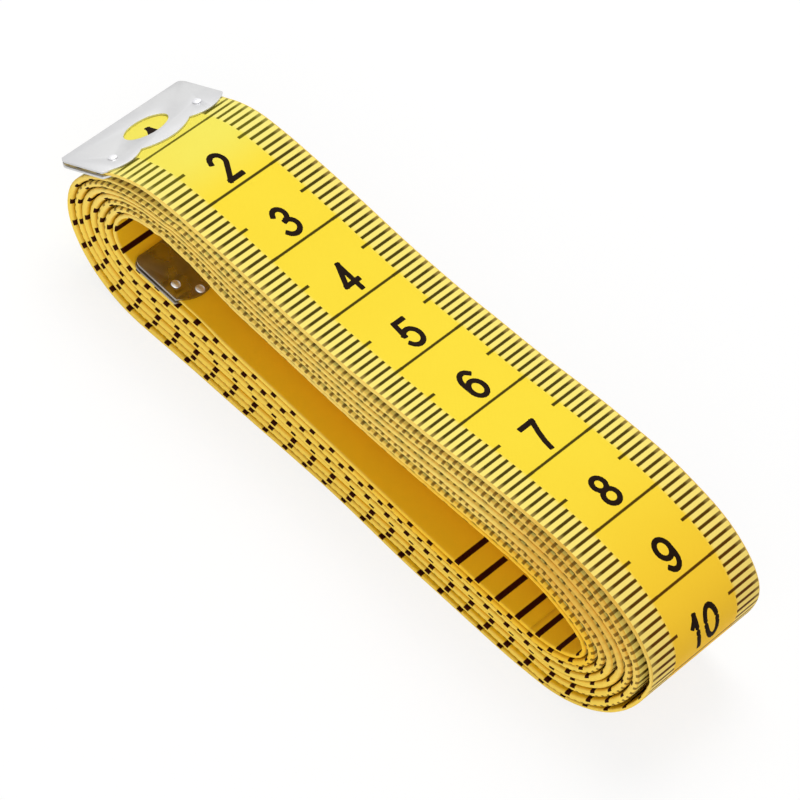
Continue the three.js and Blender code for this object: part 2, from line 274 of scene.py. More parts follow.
@dataclass(frozen=True)
class Winding:
    """How the ribbon is wound. The sizes and the loop's shares are those of the CAD model.

    Its passes keep more than their real distance on the top run. Here the inner ones are raised
    there, by `closing`: places along X and heights, both in millimetres.
    """

    passes: int = 8
    thickness: float = 0.35 * MM
    layer_gap: float = 0.46 * MM
    bore_length: float = 75.4 * MM
    bore_height_left: float = 5.5 * MM
    bore_height_right: float = 7.1 * MM
    bore_dip: float = 0.15 * MM
    bottom_bow: float = 0.01 * MM
    lead_angle: float = math.radians(31)
    shoulder_radius: float = 11.6 * MM
    inner_overhang: float = 2.3 * MM
    clip_length: float = 9 * MM
    clip_fold_radius: float = 0.475 * MM
    upright_middle_shares: tuple[float, float] = (0.5, 0.52)
    loop: tuple[Loop, ...] = (
        Loop(-0.836, 1.01, 0.36, 1),
        Loop(0.093, 1.03, -2.29, 1),
        Loop(0.756, 1.41, -0.37, 1),
        Loop(1, 1.5, 0.26, 1),
        Loop(0.809, 1.01, 0.71, -1),
        Loop(-0.836, 1.38, 0.25, -1),
        Loop(-1, 1.5, -0.09, -1),
    )
    closing: Table = ((-33, 2.1), (-28, 1.9), (-18, 0.9), (5, 0.7), (24, 0.9), (36, 0))
    closing_heights: tuple[float, float] = (9.5 * MM, 13.5 * MM)
    bottom_run: int = 4
    jog: int = 5
    left_top: int = 6
    steps_a_section: int = 20
    shoulder_steps: int = 12

    def stations(self) -> list[Station]:
        """The seven stations, from the top run's left end round by the right bend.

        Returns:
            The stations, in the order that a pass goes through them.
        """
        pitch = self.thickness + self.layer_gap
        half_bore = self.bore_length / 2
        out = self.passes - 1
        right_floor, left_floor = (
            self.thickness / 2 + out * self.loop[station].loose * pitch
            for station in (self.bottom_run, self.jog)
        )
        right_roof = right_floor + self.bore_height_right
        heights = (
            left_floor + self.bore_height_left,
            right_roof - self.bore_dip,
            right_roof,
            right_floor + self.bore_height_right * self.upright_middle_shares[0],
            right_floor,
            left_floor,
            left_floor + self.bore_height_left * self.upright_middle_shares[1],
        )
        made = []
        for shares, height in zip(self.loop, heights):
            upright = abs(shares.place) == 1
            outward = shares.outward * shares.loose * pitch
            sideways = shares.lean * shares.loose * pitch
            step = Vector((outward, sideways)) if upright else Vector((sideways, outward))
            made.append(Station(Vector((shares.place * half_bore, height)), step, upright))
        return made

    def point(self, stations: list[Station], index: int, section: int, share: float) -> Vector:
        """A point of one pass: a quarter of an ellipse in a bend, half a cosine wave on a run.

        Args:
            stations: the loop's stations.
            index: the pass, 0 for the outermost.
            section: which station the stretch starts at.
            share: how far along the stretch the point is.

        Returns:
            Its X and Z.
        """
        out = self.passes - 1 - index
        rise = (1 - math.cos(math.pi * share)) / 2
        out -= rise if section == self.jog else float(section > self.jog)
        start, stop = stations[section], stations[(section + 1) % len(stations)]
        a, b = start.at(out), stop.at(out)
        turn = share * math.pi / 2
        if stop.upright:
            return Vector((a.x + (b.x - a.x) * math.sin(turn), b.y + (a.y - b.y) * math.cos(turn)))
        if start.upright:
            return Vector((b.x + (a.x - b.x) * math.cos(turn), a.y + (b.y - a.y) * math.sin(turn)))
        bow = self.bottom_bow * math.sin(share * math.pi) if section == self.bottom_run else 0
        return Vector((a.x + (b.x - a.x) * share, a.y + (b.y - a.y) * rise + bow))

    def closed_up(self, route: Route, turns: list[int]) -> Route:
        """The route with its top run's passes raised towards the passes outside them.

        Args:
            route: the route, as the CAD model has it.
            turns: which pass each of its points is on, 0 for the outermost.

        Returns:
            The same route, with its points moved and its distances as they were.
        """
        low, high = self.closing_heights
        for point, turn in zip(route.points, turns):
            share = eased((point.y - low) / (high - low)) * turn / (self.passes - 1)
            point.y += from_table(self.closing, point.x / MM) * MM * share
        route.look_round()
        return route

    def lead(self, stations: list[Station]) -> list[Vector]:
        """The outer end, from its tip straight through the clip and over the shoulder.

        Args:
            stations: the loop's stations.

        Returns:
            Its points, from the tip on.
        """
        out = self.passes - 1
        top, side = stations[0].at(out), stations[self.left_top].at(out)
        reach, rise = top.x - side.x, top.y - side.y
        slope = math.tan(self.lead_angle)
        touch = math.atan2(slope * reach, rise)
        corner = top.x - reach * math.sin(touch) + rise * (1 - math.cos(touch)) / slope
        level = corner + self.shoulder_radius * math.tan(self.lead_angle / 2)
        centre = Vector((level, top.y - self.shoulder_radius))
        shoulder = []
        for step in range(self.shoulder_steps + 1):
            turn = self.lead_angle * (1 - step / self.shoulder_steps)
            spoke = Vector((-math.sin(turn), math.cos(turn)))
            shoulder.append(centre + spoke * self.shoulder_radius)
        away = Vector((-math.cos(self.lead_angle), -math.sin(self.lead_angle)))
        return [shoulder[0] + away * (self.clip_length - self.clip_fold_radius), *shoulder]

    def route(self) -> Route:
        """The whole route, with the places where the visible pieces of the ribbon meet.

        Returns:
            The route, where the CAD model has it.
        """
        stations = self.stations()
        points = self.lead(stations)
        turns = [0] * len(points)
        marks = {}
        last_pass = self.passes - 1
        for index in range(self.passes):
            for section in range(len(stations)):
                last = 1.0
                if section == self.bottom_run and index == 0:
                    marks["lead_end"] = len(points) + self.steps_a_section // 2
                if section == self.bottom_run and index == last_pass:
                    marks["tail_start"] = len(points)
                    start = stations[self.bottom_run].bore.x
                    stop = stations[self.jog].bore.x
                    clip_end = stop - self.inner_overhang + self.clip_length
                    last = (start - clip_end) / (start - stop)
                for step in range(self.steps_a_section):
                    share = last * step / self.steps_a_section
                    points.append(self.point(stations, index, section, share))
                turns += [index] * self.steps_a_section
                if last < 1:
                    points.append(self.point(stations, index, section, last))
                    along = (points[-1] - points[-2]).normalized()
                    points.append(points[-1] + along * (self.clip_length - self.clip_fold_radius))
                    return self.placed(self.closed_up(Route(points, marks), turns))
        raise ValueError("the winding has no inner end")

    def placed(self, route: Route) -> Route:
        """The route moved along X to where the CAD model's ribbon lies.

        Args:
            route: the route round its own middle.

        Returns:
            The same route, moved.
        """
        low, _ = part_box("tape_coil")
        offset = low[0] - (min(point.x for point in route.points[1:]) - self.thickness / 2)
        for point in route.points:
            point.x += offset
        return route


# Nodes and finishes


class Wiring:
    """Adds nodes to a tree and wires them. A source is a socket, a value or a colour's code."""

    def __init__(self, tree: NodeTree) -> None:
        """Keep the tree that the nodes go into."""
        self.tree = tree

    def found(self, kind: str) -> Node:
        """The first node of a type that the tree has."""
        return next(node for node in self.tree.nodes if node.type == kind)

    def add(self, kind: str, sources: dict | None = None, **settings: object) -> Node:
        """A new node with its properties set and its inputs fed.

        Args:
            kind: the node's type.
            sources: what its inputs get, by their names or indices.
            settings: its properties.

        Returns:
            The node.
        """
        node = self.tree.nodes.new(kind)
        for name, value in settings.items():
            setattr(node, name, value)
        self.feed(node, sources or {})
        return node

    def feed(self, node: Node, sources: dict) -> None:
        """Link a node's inputs to other sockets, or give them plain values or colours.

        Args:
            node: the node.
            sources: what its inputs get, by their names or indices.
        """
        for key, source in sources.items():
            if isinstance(source, NodeSocket):
                self.tree.links.new(source, node.inputs[key])
            else:
                value = srgb(source) if isinstance(source, str) else source
                node.inputs[key].default_value = value

    def math(self, operation: str, *sources: object) -> NodeSocket:
        """The result of a Math node over sockets or numbers."""
        return self.add("ShaderNodeMath", dict(enumerate(sources)), operation=operation).outputs[0]

    def chain(self, operation: str, first: object, *others: object) -> NodeSocket:
        """One Math operation carried on over several sources.

        Args:
            operation: the nodes' operation.
            first: the first source, a socket or a number.
            others: the sources that join it one by one.

        Returns:
            The last node's output.
        """
        for other in others:
            first = self.math(operation, first, other)
        return first

    def times(self, *sources: object) -> NodeSocket:
        """The product of the sources."""
        return self.chain("MULTIPLY", *sources)

    def rest(self, mask: NodeSocket) -> NodeSocket:
        """What a mask leaves."""
        return self.math("SUBTRACT", 1, mask)

    def apart(self, value: NodeSocket, place: float) -> NodeSocket:
        """How far a value is from a place."""
        return self.math("ABSOLUTE", self.math("SUBTRACT", value, place))

    def axes(self, vector: NodeSocket) -> list[NodeSocket]:
        """The three parts of a vector."""
        return list(self.add("ShaderNodeSeparateXYZ", {0: vector}).outputs)

    def object_place(self) -> NodeSocket:
        """The point's object coordinates, in metres."""
        return self.add("ShaderNodeTexCoord").outputs["Object"]

    def fade(self, value: object, full: object, clear: object) -> NodeSocket:
        """A mask that is 1 up to `full` and 0 from `clear` on, with a smooth step between them.

        Args:
            value: what the mask goes by.
            full: the value up to which it is 1.
            clear: the value from which it is 0, which may be the lower one.

        Returns:
            The mask.
        """
        sources = {"Value": value, "From Min": full, "From Max": clear, "To Min": 1, "To Max": 0}
        kind = "ShaderNodeMapRange"
        return self.add(kind, sources, interpolation_type="SMOOTHSTEP").outputs["Result"]

    def mix(self, mask: object, under: object, over: object) -> NodeSocket:
        """A colour laid over another through a mask."""
        return self.add("ShaderNodeMix", {0: mask, 6: under, 7: over}, data_type="RGBA").outputs[2]

    def bump(self, height: NodeSocket, strength: float, distance: float) -> NodeSocket:
        """The normal of a Bump node."""
        sources = {"Height": height, "Strength": strength, "Distance": distance}
        return self.add("ShaderNodeBump", sources).outputs[0]

    def group(self, tree: NodeTree, **sources: object) -> Node:
        """A node group placed with its own values."""
        return self.add("ShaderNodeGroup", sources, node_tree=tree)


def new_group(name: str, inputs: Iterable[str], outputs: Iterable[str]) -> tuple[Wiring, dict]:
    """A shader node group of plain numbers, with a vector where an input is named Vector.

    Args:
        name: the group's name.
        inputs: the names of its input sockets.
        outputs: the names of its output sockets.

    Returns:
        Its wiring, with its output node, and the sockets of its inputs under their names.
    """
    tree = bpy.data.node_groups.new(name, "ShaderNodeTree")
    for sockets, way in ((inputs, "INPUT"), (outputs, "OUTPUT")):
        for socket in sockets:
            kind = "NodeSocketVector" if socket == "Vector" else "NodeSocketFloat"
            tree.interface.new_socket(socket, in_out=way, socket_type=kind)
    wiring = Wiring(tree)
    inner = wiring.add("NodeGroupInput")
    return wiring, {name: inner.outputs[name] for name in inputs}


def ruled_line_group() -> NodeTree:
    """Repeated printed lines across the ribbon, each reaching in from its edges.

    Returns:
        The group, which puts out a mask.
    """
    names = ("Along", "Inset", "Spacing", "Width", "Reach", "Softness")
    wiring, at = new_group("ruled_line", names, ("Mask",))
    off = wiring.math("PINGPONG", at["Along"], wiring.times(at["Spacing"], 0.5))
    half = wiring.times(at["Width"], 0.5)
    full, clear = (wiring.math(kind, half, at["Softness"]) for kind in ("SUBTRACT", "ADD"))
    stop = wiring.math("ADD", at["Reach"], at["Softness"])
    reached = wiring.fade(at["Inset"], at["Reach"], stop)
    wiring.add("NodeGroupOutput", {"Mask": wiring.times(wiring.fade(off, full, clear), reached)})
    return wiring.tree


def weave_group() -> NodeTree:
    """Threads of a plain weave that show faintly through a coating.

    Returns:
        The group, which puts out a height.
    """
    wiring, at = new_group("weave", ("Along", "Across", "Pitch"), ("Height",))
    turns = [
        wiring.times(wiring.math("DIVIDE", at[name], at["Pitch"]), math.pi)
        for name in ("Along", "Across")
    ]
    warp, weft = (wiring.math("SINE", turn) for turn in turns)
    wiring.add("NodeGroupOutput", {"Height": wiring.times(warp, weft)})
    return wiring.tree


def mottle_group() -> NodeTree:
    """Noise, as a height and as a mask of soft-edged clouds.

    Returns:
        The group, which puts out both.
    """
    names = ("Vector", "Scale", "Detail", "Full", "Clear")
    wiring, at = new_group("mottle", names, ("Height", "Mask"))
    sources = {name: at[name] for name in ("Vector", "Scale", "Detail")}
    height = wiring.add("ShaderNodeTexNoise", sources).outputs[0]
    mask = wiring.fade(height, at["Full"], at["Clear"])
    wiring.add("NodeGroupOutput", {"Height": height, "Mask": mask})
    return wiring.tree


@dataclass(frozen=True)
class Tint:
    """A colour that is laid on where a value reaches `full`, and fades out towards `clear`."""

    colour: str
    full: float
    clear: float
    share: float = 1

    def mask(self, wiring: Wiring, value: NodeSocket) -> NodeSocket:
        """How much of it is laid on."""
        return wiring.times(wiring.fade(value, self.full, self.clear), self.share)


class Effects:
    """The node groups that the finishes place, each built once."""

    def __init__(self) -> None:
        """Build the groups."""
        self.line = ruled_line_group()
        self.weave = weave_group()
        self.mottle = mottle_group()

    def mottled(self, wiring: Wiring, scale: float, **sources: float) -> Node:
        """The group of noise, placed on the piece."""
        return wiring.group(self.mottle, Vector=wiring.object_place(), Scale=scale, **sources)

    def clouds(self, wiring: Wiring, scale: float, tint: Tint) -> NodeSocket:
        """The mask of a finish's own clouds, which have the tint's limits and share."""
        placed = self.mottled(wiring, scale, Detail=3, Full=tint.full, Clear=tint.clear)
        return wiring.times(placed.outputs["Mask"], tint.share)


def new_material(name: str) -> tuple[Material, Wiring, Node]:
    """A material with its wiring and its Principled BSDF.

    Args:
        name: the material's name.

    Returns:
        All three.
    """
    material = bpy.data.materials.new(name)
    material.use_nodes = True
    wiring = Wiring(material.node_tree)
    return material, wiring, wiring.found("BSDF_PRINCIPLED")


@dataclass(frozen=True)
class Ruling:
    """One rank of printed lines, in millimetres."""

    spacing: float
    width: float
    reach: float


@dataclass(frozen=True)
class Scale:
    """What is printed on one side."""

    side: Side
    ink: str
    ranks: tuple[Ruling, ...]


@dataclass(frozen=True)
class Spot:
    """A point of the ribbon in a material's tree, in millimetres on the flat ribbon."""

    wiring: Wiring
    along: NodeSocket  # from the outer tip
    inset: NodeSocket  # from the nearer edge
    up: NodeSocket  # from the middle of the thickness, positive on the centimetre side


@dataclass(frozen=True)
class PrintedTape:
    """Coated cloth, yellow, with a rule printed on each side. Sizes are in millimetres.

    Its tints lie where the photograph shows the coating paler or warmer; some are painted light and
    shade, as their comments say. The comment beside a tint says what its limits are measured along,
    the ribbon's width and length in millimetres, and the object's X and Z in metres.
    """

    effects: Effects
    attribute: str = "tape_place"
    half_width: float = 10
    rim: float = 0.14
    softness: float = 0.06
    scale_length: float = 1372.5
    ground: str = "f9dd3c"
    # Painted shade: the inner side deeper orange, for the warm shade inside the coil.
    inner_ground: str = "fac722"
    pale: Tint = Tint("f1e45d", 12, 20)  # from the outer tip
    bend: float = 110
    golden: Tint = Tint("fcc430", 6, 44)  # along the ribbon, from that bend; painted shade where the bend faces away from the light
    cloud_scale: float = 90
    cloud: Tint = Tint("f4cb22", 0.75, 0.25, 0.15)  # the noise's height
    border: Tint = Tint("fdf19a", 3.8, 4.6, 0.5)  # from the edge
    # The unprinted cut edges' own yellow, lightened as a painted highlight.
    low_rim: str = "ffdb5c"
    high_rim: Tint = Tint("fcdd72", 14 * MM, 8 * MM)  # Z; painted light, paler on the higher cut edges
    rim_bend: float = 34 * MM
    bend_rim: Tint = Tint("e6b040", 4 * MM, 16 * MM, 0.7)  # X, from that bend; painted shade on the upper cut edges there
    bore_length: tuple[float, float] = (1230, 1080)  # where the tint of its cut edges sets in
    bore_rim: Tint = Tint("ffca2c", 18 * MM, -5 * MM, 0.85)  # X
    crease: Tint = Tint("e2a424", 0.17, 0.1, 0.4)  # from the middle of the thickness; painted shade where cut edges meet the passes beside them
    edge_ink: Tint = Tint("5c3000", 0.4, 1.5, 0.85)  # from the edge; the same brown is the ink's painted shade by the right bend
    pale_ink: str = "66600c"
    thin_share: float = 0.22
    bleed_length: float = 680
    bleed_middle: float = 400
    bleed_limits: tuple[float, float] = (-0.2, 0.4)
    bleed_share: float = 0.9
    scales: tuple[Scale, ...] = (
        Scale(
            Side.CENTIMETRES,
            "453a00",
            (Ruling(1, 0.4, 4.3), Ruling(5, 0.4, 5.3), Ruling(10, 0.35, 12)),
        ),
        Scale(
            Side.INCHES,
            "300a00",
            (Ruling(3.175, 0.75, 5.2), Ruling(12.7, 0.75, 6.8), Ruling(25.4, 0.6, 12)),
        ),
    )
    print_depth: float = 0.05
    roughness: float = 0.55
    specular: float = 0.05
    thread_pitch: float = 0.32
    thread_bump: tuple[float, float] = (0.12, 0.02 * MM)

    def build(self) -> Material:
        """Make the material.

        Returns:
            The material of the ribbon.
        """
        material, wiring, shader = new_material("printed_tape")
        flat = wiring.add("ShaderNodeAttribute", attribute_name=self.attribute)
        along, across, up = wiring.axes(flat.outputs["Vector"])
        inset = wiring.math("SUBTRACT", self.half_width, wiring.math("ABSOLUTE", across))
        spot = Spot(wiring, along, inset, up)
        # Painted shade where the right bend faces away from the light.
        golden = self.golden.mask(wiring, wiring.apart(along, self.bend))
        pale = self.pale.mask(wiring, along)
        colour = self.cloth(spot, golden, pale)
        printed = wiring.fade(along, self.scale_length, self.scale_length + self.softness)
        for scale in self.scales:
            mask, ink = self.lines(spot, scale), scale.ink
            if scale.side is Side.CENTIMETRES:
                mask = wiring.times(mask, self.bleed(spot))
                # The ink is browner near the edge, and browner by the right bend as painted shade.
                warm = wiring.math("MAXIMUM", golden, self.edge_ink.mask(wiring, inset))
                ink = wiring.mix(warm, ink, self.edge_ink.colour)
                ink = wiring.mix(pale, ink, self.pale_ink)
            colour = wiring.mix(wiring.times(mask, printed), colour, ink)
        group = self.effects.weave
        threads = wiring.group(group, Along=along, Across=across, Pitch=self.thread_pitch)
        finish = {
            "Base Color": colour,
            "Roughness": self.roughness,
            "Specular IOR Level": self.specular,
            "Normal": wiring.bump(threads.outputs[0], *self.thread_bump),
        }
        wiring.feed(shader, finish)
        return material

    def cloth(self, spot: Spot, golden: NodeSocket, pale: NodeSocket) -> NodeSocket:
        """The coating's colour: deeper orange inside and by the right bend as painted shade, paler
        among the ticks, and warm on the cut edges, with painted shade where they meet the passes
        beside them.

        Args:
            spot: the point.
            golden: where painted shade turns the coating orange by the right bend.
            pale: where it is pale.

        Returns:
            The colour.
        """
        wiring = spot.wiring
        inside = wiring.fade(spot.up, -self.softness, self.softness)
        colour = wiring.mix(pale, self.ground, self.pale.colour)
        # Painted shade by the right bend.
        colour = wiring.mix(golden, colour, self.golden.colour)
        # Painted shade on the inner side.
        colour = wiring.mix(inside, colour, self.inner_ground)
        cloud = self.effects.clouds(wiring, self.cloud_scale, self.cloud)
        colour = wiring.mix(cloud, colour, self.cloud.colour)
        among = wiring.times(self.border.mask(wiring, spot.inset), wiring.rest(inside))
        colour = wiring.mix(among, colour, self.border.colour)
        rim = wiring.fade(spot.inset, self.rim, self.rim + self.softness)
        colour = wiring.mix(rim, colour, self.rim_colour(spot))
        # Painted shade on the cut edges, towards both faces, where the passes beside them shade
        # them.
        crease = self.crease.mask(wiring, wiring.math("ABSOLUTE", spot.up))
        return wiring.mix(wiring.times(rim, crease), colour, self.crease.colour)

    def rim_colour(self, spot: Spot) -> NodeSocket:
        """The cut edges' colour, with painted light and shade: paler higher up, deeper above by the
        right bend.
        Their unprinted yellow is lightened as a painted highlight, and they are bright round the
        bore's end.

        Args:
            spot: the point.

        Returns:
            The colour.
        """
        wiring = spot.wiring
        x, _, z = wiring.axes(wiring.object_place())
        # Painted light: the higher cut edges paler.
        high = self.high_rim.mask(wiring, z)
        colour = wiring.mix(high, self.low_rim, self.high_rim.colour)
        # Painted shade on the upper cut edges by the right bend.
        by_bend = self.bend_rim.mask(wiring, wiring.apart(x, self.rim_bend))
        colour = wiring.mix(wiring.times(by_bend, high), colour, self.bend_rim.colour)
        inmost = wiring.fade(spot.along, *self.bore_length)
        bore = wiring.times(self.bore_rim.mask(wiring, x), inmost)
        return wiring.mix(bore, colour, self.bore_rim.colour)

    def bleed(self, spot: Spot) -> NodeSocket:
        """How much ink there is by the edge: it thins out, and goes on some passes' cut edges.

        Args:
            spot: the point.

        Returns:
            A mask that is 1 away from the edge.
        """
        wiring = spot.wiring
        past = wiring.math("SUBTRACT", spot.along, self.bleed_middle)
        turn = wiring.times(past, 2 * math.pi / self.bleed_length)
        missing = wiring.fade(wiring.math("COSINE", turn), *self.bleed_limits)
        edge = wiring.fade(spot.inset, self.rim, self.rim + 2 * self.softness)
        lost = wiring.times(edge, missing, self.bleed_share)
        near = wiring.fade(spot.inset, self.edge_ink.full, self.edge_ink.clear)
        return wiring.times(wiring.rest(lost), wiring.rest(wiring.times(near, self.thin_share)))

    def lines(self, spot: Spot, scale: Scale) -> NodeSocket:
        """Where one side's lines are printed, on its own half of the thickness.

        Args:
            spot: the point.
            scale: what the side has.

        Returns:
            A mask.
        """
        wiring = spot.wiring
        along = wiring.math("ADD", spot.along, SCALE_ZERO / MM)
        shared = {"Along": along, "Inset": spot.inset, "Softness": self.softness}
        masks = []
        for rank in scale.ranks:
            sizes = {"Spacing": rank.spacing, "Width": rank.width, "Reach": rank.reach}
            masks.append(wiring.group(self.effects.line, **shared, **sizes).outputs[0])
        height = wiring.times(spot.up, scale.side.value)
        facing = wiring.math("GREATER_THAN", height, self.print_depth)
        return wiring.times(wiring.chain("MAXIMUM", *masks), facing)


@dataclass(frozen=True)
class Ink:
    """The ink of the printed figures, worn in places."""

    effects: Effects
    worn: str = "1e1004"
    fresh: Tint = Tint("0e0400", 0.7, 0.35, 0.5)
    cloud_scale: float = 900
    roughness: float = 0.6
    specular: float = 0.05

    def build(self) -> Material:
        """Make the material.

        Returns:
            The material of the figures.
        """
        material, wiring, shader = new_material("figure_ink")
        cloud = self.effects.clouds(wiring, self.cloud_scale, self.fresh)
        finish = {
            "Base Color": wiring.mix(cloud, self.worn, self.fresh.colour),
            "Roughness": self.roughness,
            "Specular IOR Level": self.specular,
        }
        wiring.feed(shader, finish)
        return material


@dataclass(frozen=True)
class Plating:
    """Plated sheet metal, with a fine grain and a few duller clouds."""

    effects: Effects
    name: str
    colour: str
    dull_colour: str
    roughness: float
    grain: float
    dull_limits: tuple[float, float] = (0.7, 0.3)
    cloud_scale: float = 260
    dull_roughness: float = 0.12
    grain_scale: float = 2600
    grain_depth: float = 0.02 * MM

    def build(self) -> Material:
        """Make the material.

        Returns:
            The material of one kind of metal.
        """
        material, wiring, shader = new_material(self.name)
        dull = Tint(self.dull_colour, *self.dull_limits)
        cloud = self.effects.clouds(wiring, self.cloud_scale, dull)
        grain = self.effects.mottled(wiring, self.grain_scale, Detail=2).outputs["Height"]
        finish = {
            "Base Color": wiring.mix(cloud, self.colour, dull.colour),
            "Metallic": 1,
            "Roughness": wiring.math("MULTIPLY_ADD", cloud, self.dull_roughness, self.roughness),
            "Normal": wiring.bump(grain, self.grain, self.grain_depth),
        }
        wiring.feed(shader, finish)
        return material


# Pieces


def new_object(name: str, data: object) -> Object:
    """A new object in the scene.

    Args:
        name: the object's name.
        data: its mesh, light or camera.

    Returns:
        The object.
    """
    made = bpy.data.objects.new(name, data)
    bpy.context.collection.objects.link(made)
    return made


def new_piece(name: str, bm: BMesh, material: Material) -> Object:
    """Turn a finished bmesh into an object of the scene.

    Args:
        name: the piece's name.
        bm: its mesh, which is freed.
        material: its finish.

    Returns:
        The new object.
    """
    mesh = bpy.data.meshes.new(name)
    bm.to_mesh(mesh)
    bm.free()
    mesh.materials.append(material)
    return new_object(name, mesh)


@dataclass(frozen=True)
class Stretch:
    """One visible piece of the ribbon, between two distances from its outer tip."""

    name: str
    node: str
    start: float
    end: float
    hinge: str | None


@dataclass
class Ribbon:
    """The printed ribbon, cut flat and wound along its route.

    The rows of `fullest` and `wander` are distances along it and offsets, both in millimetres.
    """

    route: Route
    width: float = 20 * MM
    thickness: float = 0.35 * MM
    rounding: float = 0.165 * MM
    step: float = 0.7 * MM
    across_shares: tuple[float, ...] = (-1, -0.95, -0.6, -0.2, 0.2, 0.6, 0.95, 1)
    gap: float = 0.21 * MM
    fullest: Table = ((140, 0.48), (200, 0.9))
    swelling: float = 0.7
    edge_zone: float = 0.2 * MM
    clip_reach: float = 9.7 * MM
    easing: float = 6 * MM
    slack: float = 0.03 * MM
    usual_slack: float = 1.5
    slack_waves: tuple[float, float] = (31 * MM, 113 * MM)
    drift: float = 0.2 * MM
    drift_waves: tuple[float, float] = (47 * MM, 171 * MM)
    wander: Table = (
        (0, 0), (9, 0), (19, 0.4), (30, 0.45), (40, 0.35), (49, 0.2),
        (59, -0.1), (70, 0.05), (80, 0.25), (88, 0.5), (98, 0.4), (108, -0.1),
        (123, -0.8), (135, -0.7), (152, -0.1), (170, -0.3), (185, -0.55), (196, -0.35),
        (208, 0.1), (218, 0.1), (235, -0.15), (255, -0.2), (272, 0.05), (285, 0),
        (300, -0.6), (318, -0.8), (340, -0.4),
    )

    def flat_strip(self, start: float, end: float) -> BMesh:
        """A flat strip with rounded edges, lying along X.

        Args:
            start: distance of its first end from the outer tip.
            end: distance of its other end.

        Returns:
            Its mesh, which records where each point lies on the flat ribbon.
        """
        bm = bmesh.new()
        columns = len(self.across_shares) - 1
        bmesh.ops.create_grid(bm, x_segments=1, y_segments=columns, size=0.5)
        for vert in bm.verts:
            share = self.across_shares[round((vert.co.y + 0.5) * columns)]
            vert.co = (end if vert.co.x > 0 else start, share * self.width / 2, 0)
        bmesh.ops.solidify(bm, geom=bm.faces[:], thickness=self.thickness)
        low = min(vert.co.z for vert in bm.verts)
        bmesh.ops.translate(bm, verts=bm.verts, vec=(0, 0, -low - self.thickness / 2))
        tiny = self.thickness / 100
        rim = [
            edge
            for edge in self.long_edges(bm)
            if all(abs(abs(vert.co.y) - self.width / 2) < tiny for vert in edge.verts)
        ]
        bmesh.ops.bevel(
            bm, geom=rim, offset=self.rounding, segments=4, profile=0.5, affect="EDGES", material=-1
        )
        cuts = max(round((end - start) / self.step) - 1, 1)
        bmesh.ops.subdivide_edges(bm, edges=self.long_edges(bm), cuts=cuts, use_grid_fill=True)
        bmesh.ops.recalc_face_normals(bm, faces=bm.faces[:])
        place = bm.verts.layers.float_vector.new(PrintedTape.attribute)
        for vert in bm.verts:
            vert[place] = vert.co / MM
        return bm

    @staticmethod
    def long_edges(bm: BMesh) -> list[BMEdge]:
        """The edges that run along the flat strip."""
        return [edge for edge in bm.edges if edge.verts[0].co.x != edge.verts[1].co.x]

    def freedom(self, along: float) -> float:
        """How freely the ribbon lies: 0 in a clip, and 1 a little way from both."""
        nearest = min(along, self.route.length - along)
        return eased((nearest - self.clip_reach) / self.easing)

    def aside(self, along: float) -> float:
        """How far a place lies from the middle of the coil, as its passes wander.

        Args:
            along: the place's distance from the outer tip.

        Returns:
            The distance across, positive to the back.
        """
        tabled = from_table(self.wander, along / MM) * MM
        past = max(along - self.wander[-1][0] * MM, 0)
        waves = sum(math.sin(past / wave) for wave in self.drift_waves) / len(self.drift_waves)
        return (tabled + self.drift * waves) * (self.freedom(along) if past else 1)

    def fullness(self, along: float) -> float:
        """How thick the ribbon is, pressed flat in a clip and nearly filling its room elsewhere."""
        room = min(self.route.room(along) - self.gap, from_table(self.fullest, along / MM) * MM)
        return self.thickness + max(room - self.thickness, 0) * self.freedom(along)

    def lay(self, along: float, across: float, up: float) -> Vector:
        """Where a point of the flat ribbon lies, with the winding's small unevenness.

        Its outer face stays where the CAD model's is, and its inner face goes in as it swells.

        Args:
            along: its distance from the outer tip.
            across: its distance from the middle of the width.
            up: its height above the middle of the thickness.

        Returns:
            Its place in the row frame.
        """
        swell = self.fullness(along) / self.thickness - 1
        sunk = (self.thickness / 2 - up) * swell
        inset = self.width / 2 - abs(across)
        if inset < self.edge_zone:
            across = math.copysign(self.width / 2 - inset * (1 + self.swelling * swell), across)
        waves = math.prod(math.sin(along / wave) for wave in self.slack_waves)
        loose = self.slack * (self.usual_slack + waves) * self.freedom(along)
        return self.route.lay(along, across + self.aside(along), up - sunk - loose)

    def wind(self, bm: BMesh) -> None:
        """Move each point of a flat mesh, which lies along X, to its place on the wound ribbon."""
        for vert in bm.verts:
            vert.co = self.lay(vert.co.x, vert.co.y, vert.co.z)

    def build(self, stretch: Stretch, material: Material) -> Object:
        """Make one stretch of the ribbon, wound.

        Args:
            stretch: which stretch.
            material: the finish of the ribbon.

        Returns:
            The piece.
        """
        bm = self.flat_strip(stretch.start, stretch.end)
        ends = (stretch.start, stretch.end)
        for face in bm.faces:
            flat = any(all(vert.co.x == end for vert in face.verts) for end in ends)
            face.smooth = not flat
        for edge in bm.edges:
            edge.smooth = len({face.smooth for face in edge.link_faces}) == 1
        self.wind(bm)
        return new_piece(stretch.name, bm, material)


def arc(
    centre: tuple[float, float], radii: tuple[float, float], start: float, end: float
) -> list[tuple[float, float]]:
    """Points along an elliptical arc.

    Args:
        centre: its centre.
        radii: its half width and half height.
        start: the angle it starts at, in degrees.
        end: the angle it ends at.

    Returns:
        The points in order, one for each 20 degrees or so.
    """
    count = max(round(abs(end - start) / 20), 2)
    angles = [math.radians(start + (end - start) * step / count) for step in range(count + 1)]
    x, y = centre
    return [(x + radii[0] * math.cos(angle), y + radii[1] * math.sin(angle)) for angle in angles]


